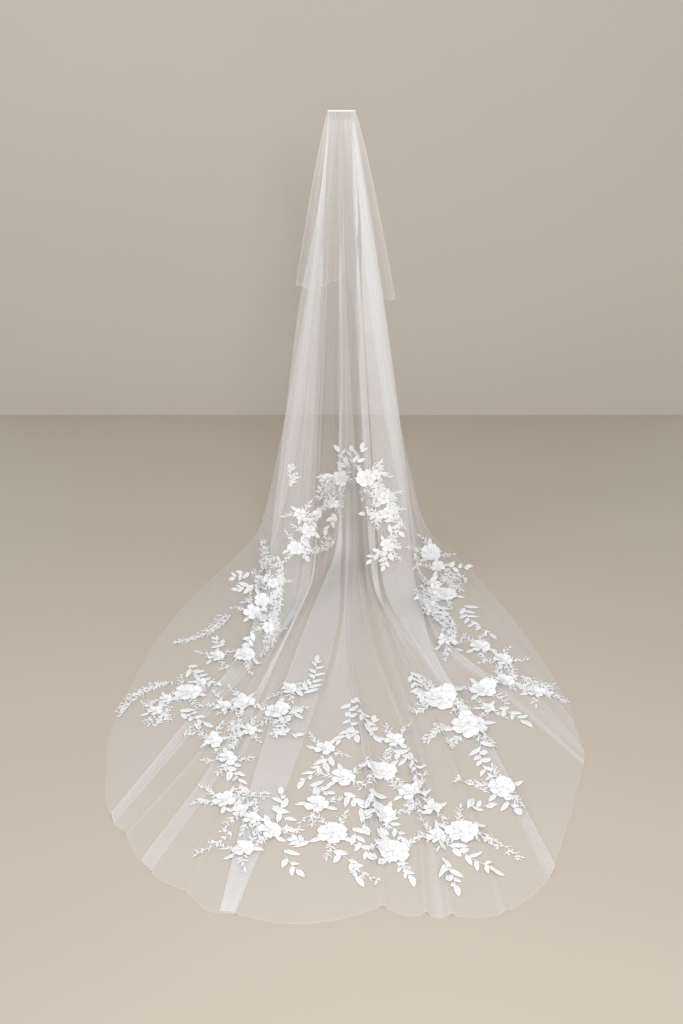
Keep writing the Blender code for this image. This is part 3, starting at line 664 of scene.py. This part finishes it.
def long_tier():
    parts = split_counts()
    spots = places()
    grid = np.array([finer(section(place), parts) for place in spots])
    at = np.array(spots)
    widths = flat_widths(grid, at > TRAIN_START)
    across = summed(widths)[None, :].repeat(len(spots), axis=0)
    lengths = np.linalg.norm(np.diff(grid, axis=0), axis=2).mean(axis=1)
    along = summed(lengths)[:, None].repeat(grid.shape[1], axis=1)
    layers = packed_layers(grid, widths)
    hanging = np.clip((1.1 - at) / 0.3, 0, 1)[:, None]
    started = np.clip(at / 0.12, 0, 1)[:, None]
    size = started * (RIPPLE_ON_TRAIN + (RIPPLE - RIPPLE_ON_TRAIN) * hanging)
    grid = rippled(grid, across, along, size)
    grid[:, :, 2] = np.maximum(grid[:, :, 2], FLOOR - WALL / 2)
    layers = long_layers(grid, layers, across, along, at, hanging)
    level = np.clip((at - 0.85) / 0.3, 0, 1)[:, None]
    toward = np.stack([0 * level, level - 1, 0.15 + 0.85 * level], axis=-1)
    toward /= np.linalg.norm(toward, axis=2)[:, :, None]
    tulle = shell("long_tulle", grid, hidden_share(grid, layers, toward), across, along)
    return tulle, hem_thread("long_hem", grid, int(np.searchsorted(at, LONG_HEM_START)), HEM_RADIUS)


def short_point(across, down):
    """A point of the short tier's middle: across from -1 to 1, down from 0 at the comb to 1 at the hem."""
    half = SHORT_HALF_WIDTH[0] if across < 0 else SHORT_HALF_WIDTH[1]
    comb_half = COMB_WIDTH / 2 - WALL
    x = across * (comb_half + (half - comb_half) * down**SPREAD)
    wave = math.sin(math.pi * SHORT_WAVES * across + SHORT_WAVE_DRIFT * math.sin(3 * across))
    y = SHORT_FRONT + SHORT_LEAN * down**1.2 + SHORT_WAVE * wave * down**0.8
    knots = [row[0] for row in SHORT_HEM]
    lengths = [row[1] for row in SHORT_HEM]
    return x, y, PANEL_TOP - down * curve(knots, lengths, across)


def short_tier():
    count = (SHORT_COLUMNS - 1) * SHORT_PARTS + 1
    downs = [(row / SHORT_FINE_ROWS) ** 1.2 for row in range(SHORT_FINE_ROWS + 1)]
    sides = [1 - 2 * column / (count - 1) for column in range(count)]
    grid = np.array([[short_point(side, down) for side in sides] for down in downs])
    at = np.array(downs)[:, None]
    widths = flat_widths(grid, at[:, 0] > 0.9)
    across = summed(widths)[None, :].repeat(len(downs), axis=0) * SHORT_FULLNESS
    along = (at * SHORT_LENGTH).repeat(count, axis=1)
    layers = packed_layers(grid, SHORT_FULLNESS * widths)
    grid = rippled(grid, across, along, np.clip(at / 0.12, 0, 1) * RIPPLE)
    side = np.clip((np.abs(np.array(sides))[None, :] - 0.2) / 0.4, 0, 1)
    layers *= 0.45 + 0.35 * side
    layers *= 1 + STREAK * waves(across, along * 0.5, *SHORT_STREAKS)
    layers = np.maximum(layers, LEAST_SHORT_LAYERS)
    hem_layers(layers)
    toward = np.array([0, 0.995, 0.1])
    tulle = shell("short_tulle", grid, hidden_share(grid, layers, toward), across, along)
    return tulle, hem_thread("short_hem", grid, SHORT_HEM_ROW, SHORT_HEM_RADIUS)


class Lace:
    """Flat pieces of lace, as points across the cloth with a rise above it, and their faces."""

    def __init__(self, chosen):
        self.chosen = chosen
        self.draw = chosen.uniform
        self.points = []
        self.faces = []
        self.anchors = []
        self.vein_and_shade_tones = []

    def sheet(self, rows, anchors, vein_and_shade_tones=None):
        """Rows of (x, y, rise) points, joined by quads, with their tones: darker vein lines and painted
        shade. Points with one anchor lie at nearly one depth.
        """
        width = len(rows[0])
        base = len(self.points)
        for row, anchor in zip(rows, anchors):
            self.points.extend(row)
            self.anchors.extend([anchor] * width)
        for row in vein_and_shade_tones or [[0.0] * width] * len(rows):
            self.vein_and_shade_tones.extend(row)
        for i in range(len(rows) - 1):
            for j in range(width - 1):
                low = base + i * width + j
                self.faces.append((low, low + 1, low + 1 + width, low + width))

    def petal(self, centre, angle, length, rise, anchor):
        """A wide round petal with a notched, wavy edge and raised veins, one side over its neighbour. Its
        tones darken its vein lines and paint shade into its heart and side edges.
        """
        half_turn = self.draw(0.64, 0.74)
        notch = self.draw(0.05, 0.12)
        rows, vein_and_shade_tones = [], []
        columns = 2 * PETAL_HALF + 1
        for i in range(PETAL_ROWS):
            t = 0.05 + 0.95 * (i / (PETAL_ROWS - 1)) ** 0.8
            row = []
            for j in range(columns):
                s = (j - PETAL_HALF) / PETAL_HALF
                edge = 1 - 0.40 * abs(s) ** 2.4 - notch * math.exp(-((s / 0.22) ** 2))
                edge += 0.018 * math.cos(5 * math.pi * s)
                reach = length * t * (1 + (edge - 1) * t)
                turn = angle + half_turn * s
                ribs = 0.0004 * math.cos(5 * math.pi * s) * min(1, 2 * t)
                cup = 0.0022 * t**3 + 0.0020 * s * t + 0.0008 * s * s * t
                row.append((*away(*centre, turn, reach), rise + 0.0020 + cup + ribs))
            rows.append(row)
            # Painted shade: darker towards the flower's heart
            heart_shade = max(0.0, 1 - t / 0.40)
            veins = [(0.26 if j % 2 else 0.0) * (1 - 0.4 * t) for j in range(columns)]
            vein_and_shade_tones.append([min(1, 0.55 * heart_shade + vein) for vein in veins])
            # Painted shade along the petal's side edges
            vein_and_shade_tones[-1][0] = vein_and_shade_tones[-1][-1] = PETAL_EDGE_SHADE
        self.sheet(rows, [anchor] * len(rows), vein_and_shade_tones)

    def bead(self, x, y, rise, radius, anchor):
        """A small round bead, as the top of a ball."""
        turns = [2 * math.pi * j / BEAD_SIDES for j in range(BEAD_SIDES + 1)]
        rows = []
        for slope in BEAD_SLOPES:
            ring, up = radius * math.cos(slope), rise + radius * math.sin(slope)
            rows.append([(*away(x, y, turn, ring), up) for turn in turns])
        self.sheet(rows, [anchor] * len(rows))

    def bloom(self, x, y, radius):
        """A flower of one or two rounds of petals with a beaded middle."""
        anchor = (x, y)
        start = self.draw(0, 2 * math.pi)
        count = 6 if radius > 0.040 else 5
        rounds = ((1.0, 0.0, 0.0), (0.50, 0.5, 0.0022)) if radius > 0.028 else ((1.0, 0.0, 0.0),)
        for scale, turn, rise in rounds:
            for k in range(count):
                angle = start + 2 * math.pi * (k + turn) / count + self.draw(-0.08, 0.08)
                length = radius * scale * self.draw(0.93, 1.10)
                self.petal(anchor, angle, length, rise, anchor)
        beads = 9 if radius > 0.03 else 5
        for k in range(beads):
            reach = radius * 0.17 * (k / beads) ** 0.5
            size = BEAD_RADIUS * self.draw(0.8, 1.15)
            self.bead(*away(x, y, 2.4 * k, reach), 0.0036, size, anchor)

    def leaf(self, x, y, angle, length, width):
        """A pointed leaf with a raised midrib, darker along the midrib, with painted shade at its edges."""
        anchor = away(x, y, angle, 0.5 * length)
        bend = self.draw(-0.25, 0.25)
        # Tones across the leaf: a darker midrib line, and painted shade at its edges
        steps, sides, vein_and_edge_shade = 5, 1, (0.1, 0.4, 0.1)
        if length > 0.030:
            steps, sides, vein_and_edge_shade = 8, 2, (0.22, 0.06, 0.60, 0.06, 0.22)
        rows = []
        for i in range(steps + 1):
            t = i / steps
            half = 0.5 * width * (math.sin(math.pi * t**0.85) ** 0.8 + 0.05) * (1 + 0.05 * (-1) ** i)
            if i == steps:
                half = 0.02 * width
            turned = angle + bend * t
            row = []
            for j in range(2 * sides + 1):
                s = (j - sides) / sides
                reach = length * (t - 0.06 * abs(s))
                cx = x + reach * math.cos(turned) - half * s * math.sin(turned)
                cy = y + reach * math.sin(turned) + half * s * math.cos(turned)
                rise = 0.0004 + 0.0009 * (1 - abs(s)) ** 2 + 0.0010 * abs(s) * math.sin(math.pi * t)
                row.append((cx, cy, rise))
            rows.append(row)
        self.sheet(rows, [anchor] * len(rows), [vein_and_edge_shade] * len(rows))

    def stem(self, path):
        rows, anchors = [], []
        for index, (x, y) in enumerate(path):
            low, high = path[max(index - 1, 0)], path[min(index + 1, len(path) - 1)]
            angle = math.atan2(high[1] - low[1], high[0] - low[0])
            across = (-math.sin(angle) * STEM_WIDTH / 2, math.cos(angle) * STEM_WIDTH / 2)
            rows.append([
                (x - across[0], y - across[1], 0.0003),
                (x, y, 0.0011),
                (x + across[0], y + across[1], 0.0003),
            ])
            anchors.append(path[3 * (index // 3)])
        self.sheet(rows, anchors)

    def twig(self, kind, x, y, tip_x, tip_y):
        made = KINDS[kind]
        length = math.dist((x, y), (tip_x, tip_y))
        heading = math.atan2(tip_y - y, tip_x - x)
        bow = self.draw(-0.16, 0.16) * length
        path = []
        steps = max(4, round(length / 0.008))
        for step in range(steps + 1):
            t = step / steps
            off = bow * 4 * t * (1 - t)
            along = length * t
            px = x + along * math.cos(heading) - off * math.sin(heading)
            py = y + along * math.sin(heading) + off * math.cos(heading)
            path.append((px, py))
        self.stem(path)
        pairs = max(2, round(length / made.gap))
        for k in range(2 * pairs):
            t = (k / 2 + 0.2 + self.draw(-0.15, 0.15)) / pairs
            px, py = path[max(0, min(steps, round(t * steps)))]
            shrink = 1 - 0.45 * t
            size = made.leaf * shrink * self.draw(0.7, 1.2)
            turned = heading + (-1) ** k * self.draw(0.5, 1.0)
            if made.buds and length > 0.07 and k % 4 == 1:
                reach = made.leaf * 1.6 * shrink
                self.twig(kind, px, py, *away(px, py, turned, reach))
                continue
            self.leaf(px, py, turned, size, made.wide * shrink * self.draw(0.85, 1.15))
            if made.buds and self.chosen.random() < 0.45:
                tip = away(px, py, turned, size * 1.12)
                self.bead(*tip, 0.0004, 0.0020, tip)
        size = min(made.leaf, length * 0.5)
        self.leaf(*path[-1], heading, size * 0.9, made.wide * 0.9)


def camera_place():
    return Vector((0, -CAMERA_AWAY, CAMERA_HEIGHT - DROP))


def laid(lace, tree, upright):
    """The lace's points laid on the cloth: from above, or along the camera's sight line if upright."""
    eye = camera_place()

    def sight(x, y):
        if not upright:
            return Vector((x, y, 1)), Vector((0, 0, -1))
        return eye, (Vector((x, 0, FLOOR + y)) - eye).normalized()

    found, motifs = [], {}
    for (x, y, _), anchor in zip(lace.points, lace.anchors):
        start, way = sight(x, y)
        depth = tree.ray_cast(start, way)[3]
        near = [tree.ray_cast(*sight(x + dx, y + dy))[3] for dx, dy in AROUND]
        found.append((start, way, depth, [other for other in near if other is not None]))
        motifs.setdefault(anchor, []).extend([] if depth is None else [depth])
    every = sorted(depth for depths in motifs.values() for depth in depths)
    share, lift, sink = UPRIGHT_LAY if upright else TRAIN_LAY
    level = {}
    for anchor, depths in motifs.items():
        depths = sorted(depths) or [every[len(every) // 2]]
        level[anchor] = depths[int(share * len(depths))]
    placed = []
    for (start, way, depth, near), anchor, point in zip(found, lace.anchors, lace.points):
        low, high = level[anchor] - lift, level[anchor] + sink
        held = high if depth is None else min(high, max(low, depth))
        near = [min(high, max(low, other)) for other in near]
        eased = sum(near) / len(near) if near else held
        laid_at = start + way * (min(held, eased) - LACE_CLEAR - point[2])
        laid_at.z = max(laid_at.z, LACE_FLOOR)
        placed.append(laid_at)
    return placed


def lace_piece(cluster, tree, number):
    chosen = random.Random(LACE_SEED + number)
    lace = Lace(chosen)
    for kind, *ends in cluster.twigs:
        lace.twig(kind, *(size / 1000 for size in ends))
    for bloom in cluster.blooms:
        centre_x, centre_y, radius = (size / 1000 for size in bloom)
        start = chosen.uniform(0, 2 * math.pi)
        for k in range(5):
            angle = start + 2 * math.pi * k / 5 + chosen.uniform(-0.4, 0.4)
            x, y = away(centre_x, centre_y, angle, radius * 0.72)
            if k % 2:
                lace.leaf(x, y, angle, 0.018 + radius * 0.60, 0.008 + radius * 0.18)
            else:
                lace.twig("fine", x, y, *away(x, y, angle, 0.024 + radius * 0.8))
        lace.bloom(centre_x, centre_y, radius)
    name = cluster.node.replace("lace_", "") + "_lace"
    points = laid(lace, tree, cluster.upright)
    # A cord isn't carried across open space between two folds
    faces = [face for face in lace.faces if (points[face[0]] - points[face[2]]).length < LACE_SPAN]
    obj = mesh_object(name, points, faces)
    # Per-point tones: darker vein lines, and painted shade at petal hearts and at petal and leaf edges
    stitches_and_shade = obj.data.attributes.new("stitches_and_shade", "FLOAT", "POINT")
    stitches_and_shade.data.foreach_set("value", lace.vein_and_shade_tones)
    solid = obj.modifiers.new("thickness", "SOLIDIFY")
    solid.thickness = LACE_SOLID
    solid.offset = 0
    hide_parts(cluster.node)
    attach(obj, "root")
    return obj


def comb_wrap():
    """White thread wound round the comb's bar."""
    verts = []
    rings = WRAP_TURNS * 4
    for ring in range(rings + 1):
        x = -COMB_WIDTH / 2 + COMB_WIDTH * ring / rings
        swell = 1 + 0.10 * math.cos(2 * math.pi * ring / 4)
        for step in range(WRAP_SIDES):
            angle = 2 * math.pi * step / WRAP_SIDES
            y = 0.0019 * swell * math.cos(angle)
            z = -COMB_BAR / 2 + (COMB_BAR / 2 + 0.0006) * swell * math.sin(angle)
            verts.append((x, y, z))
    faces = [(a, d, c, b) for a, b, c, d in tube_faces(rings, WRAP_SIDES)]
    faces.append(tuple(range(WRAP_SIDES)))
    faces.append(tuple(rings * WRAP_SIDES + step for step in reversed(range(WRAP_SIDES))))
    return mesh_object("comb_wrap", verts, faces)


def fill_inputs(node, values):
    """Sets inputs by name, with _ for each space."""
    for name, value in values.items():
        node.inputs[name.replace("_", " ")].default_value = value


class Finish:
    """A material, with short ways to add its nodes. Values that are given go on the nodes' own inputs."""

    def __init__(self, name, **values):
        self.material = bpy.data.materials.new(name)
        self.material.use_nodes = True
        self.tree = self.material.node_tree
        self.shader = self.tree.nodes["Principled BSDF"]
        fill_inputs(self.shader, values)

    def node(self, kind, **values):
        node = self.tree.nodes.new("ShaderNode" + kind)
        fill_inputs(node, values)
        return node

    def link(self, output, node, name):
        self.tree.links.new(output, node.inputs[name])

    def in_place(self, kind, **values):
        """A texture laid in the object's own coordinates."""
        texture = self.node("Tex" + kind, **values)
        self.link(self.node("TexCoord").outputs["Object"], texture, "Vector")
        return texture

    def attribute(self, name):
        node = self.node("Attribute")
        node.attribute_name = name
        return node.outputs["Fac"]

    def ranged(self, output, **values):
        node = self.node("MapRange", **values)
        self.link(output, node, "Value")
        return node.outputs["Result"]

    def times(self, first, second):
        node = self.node("Math")
        node.operation = "MULTIPLY"
        node.use_clamp = True
        self.link(first, node, 0)
        self.link(second, node, 1)
        return node.outputs["Value"]

    def tint(self, noise, dark, light, stops=(0.0, 1.0)):
        """Colours from dark to light that follow the noise."""
        node = self.node("ValToRGB")
        for element, colour, stop in zip(node.color_ramp.elements, (dark, light), stops):
            element.position = stop
            element.color = (*colour, 1)
        self.link(noise.outputs["Fac"], node, "Fac")
        return node.outputs["Color"]


def tulle_material():
    """Sheer net: it hides as much as the mesh's own attribute says, varied by the fine net."""
    made = Finish("tulle", Roughness=0.75, Sheen_Weight=0.25, Specular_IOR_Level=0.25)
    net = made.in_place("Voronoi", Scale=420)
    net.feature = "DISTANCE_TO_EDGE"
    holes = made.ranged(net.outputs["Distance"], From_Max=0.35, To_Min=1.10, To_Max=0.94)
    hides = made.times(made.attribute("hides"), holes)
    in_shadow = made.node("LightPath").outputs["Is Shadow Ray"]
    shadow = made.ranged(in_shadow, To_Min=1.0, To_Max=SHADOW_SHARE)
    made.link(made.times(hides, shadow), made.shader, "Alpha")
    cloud = made.in_place("Noise", Scale=3.0)
    made.link(made.tint(cloud, (0.80, 0.795, 0.79), (0.88, 0.882, 0.885)), made.shader, "Base Color")
    return made.material


def lace_material():
    """White embroidered lace with fine thread relief, darker along its vein lines, with painted shade in the
    petals' hearts and at petal and leaf edges.
    """
    made = Finish("lace", Roughness=0.65, Sheen_Weight=0.2)
    weave = made.in_place("Noise", Scale=420, Detail=3)
    bump = made.node("Bump", Strength=0.5, Distance=0.0006)
    made.link(weave.outputs["Fac"], bump, "Height")
    made.link(bump.outputs["Normal"], made.shader, "Normal")
    # Mixes toward the dark colour by the per-point tones: vein lines, and painted shade at petal hearts and
    # at petal and leaf edges
    veined_and_shaded = made.node("Mix")
    veined_and_shaded.data_type = "RGBA"
    factor, plain, dark = 0, 6, 7
    veined_and_shaded.inputs[dark].default_value = (0.52, 0.53, 0.55, 1)
    made.link(made.attribute("stitches_and_shade"), veined_and_shaded, factor)
    made.link(made.tint(weave, (0.82, 0.82, 0.825), (0.94, 0.94, 0.94), (0.3, 0.6)), veined_and_shaded, plain)
    made.link(veined_and_shaded.outputs[2], made.shader, "Base Color")
    return made.material


def thread_material():
    made = Finish("hem_thread", Roughness=0.7, Alpha=0.25)
    cloud = made.node("TexNoise", Scale=300)
    made.link(made.tint(cloud, (0.78, 0.77, 0.75), (0.90, 0.90, 0.89)), made.shader, "Base Color")
    return made.material


def metal_material():
    made = Finish("comb_metal_finish", Metallic=1.0)
    grain = made.node("TexNoise", Scale=900)
    made.link(made.tint(grain, (0.62, 0.62, 0.63), (0.78, 0.78, 0.79)), made.shader, "Base Color")
    rough = made.ranged(grain.outputs["Fac"], To_Min=0.22, To_Max=0.38)
    made.link(rough, made.shader, "Roughness")
    return made.material


def studio_material(name, dark, light):
    """A matt studio surface with a faint cloudy variation."""
    made = Finish(name, Roughness=0.9, Specular_IOR_Level=0.2)
    cloud = made.in_place("Noise", Scale=0.7)
    made.link(made.tint(cloud, dark, light), made.shader, "Base Color")
    return made.material


def plane(name, size, place, turned, material):
    x, y = size[0] / 2, size[1] / 2
    corners = [(-x, -y, 0), (x, -y, 0), (x, y, 0), (-x, y, 0)]
    obj = mesh_object(name, corners, [(0, 1, 2, 3)], place=place, turned=turned)
    obj.data.materials.append(material)


def area_light(name, place, target, size, power, colour):
    data = bpy.data.lights.new(name, "AREA")
    data.shape = "RECTANGLE"
    data.size, data.size_y = size
    data.energy = power
    data.color = colour
    aim = (Vector(target) - Vector(place)).to_track_quat("-Z", "Y").to_euler()
    add_object(name, data, place, aim)


def studio():
    floor = studio_material("floor_paint", (0.475, 0.412, 0.345), (0.515, 0.45, 0.38))
    wall = studio_material("wall_paint", (0.54, 0.485, 0.425), (0.57, 0.515, 0.455))
    plane("studio_floor", (14, 12), (0, WALL_Y - 6, FLOOR_Z), (0, 0, 0), floor)
    plane("studio_wall", WALL_SIZE, (0, WALL_Y, FLOOR_Z + WALL_SIZE[1] / 2), (math.pi / 2, 0, 0), wall)
    area_light("key", (0.55, -4.2, 1.2), (0.0, -0.3, -0.9), (0.9, 0.9), 105, (1.0, 0.975, 0.945))
    area_light("fill", (-3.4, -2.4, 1.8), (0, -0.5, -1.0), (2.6, 2.6), 38, (0.96, 0.97, 1.0))
    world = bpy.data.worlds.new("studio_air")
    world.use_nodes = True
    fill_inputs(world.node_tree.nodes["Background"], {"Color": (0.90, 0.92, 0.95, 1), "Strength": 0.74})
    bpy.context.scene.world = world
    bpy.context.scene.view_settings.view_transform = "Standard"
    bpy.context.scene.cycles.transparent_max_bounces = 32


def camera():
    data = bpy.data.cameras.new("camera")
    data.sensor_fit = "VERTICAL"
    data.sensor_height = SENSOR
    data.lens = SENSOR * FOCAL_PIXELS / FRAME_PIXELS[1]
    turned = (math.pi / 2 - CAMERA_TILT, 0, 0)
    bpy.context.scene.camera = add_object("camera", data, camera_place(), turned)


def main():
    camera()
    studio()
    tulle, lace, sewing = tulle_material(), lace_material(), thread_material()
    long_piece, long_hem = long_tier()
    short_piece, short_hem = short_tier()
    for piece in (long_piece, short_piece):
        piece.data.materials.append(tulle)
    for piece in (long_hem, short_hem):
        piece.data.materials.append(sewing)
    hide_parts("long_tier")
    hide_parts("short_tier")
    tree = BVHTree.FromPolygons(
        [vert.co.copy() for vert in long_piece.data.vertices],
        [tuple(face.vertices) for face in long_piece.data.polygons],
    )
    for number, cluster in enumerate(CLUSTERS):
        piece = lace_piece(cluster, tree, number)
        piece.data.materials.append(lace)
    wrap = comb_wrap()
    wrap.data.materials.append(lace)
    for piece in (long_piece, short_piece, long_hem, short_hem, wrap):
        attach(piece, "root")
    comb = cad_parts["comb"]
    comb.data.materials.clear()
    comb.data.materials.append(metal_material())


main()
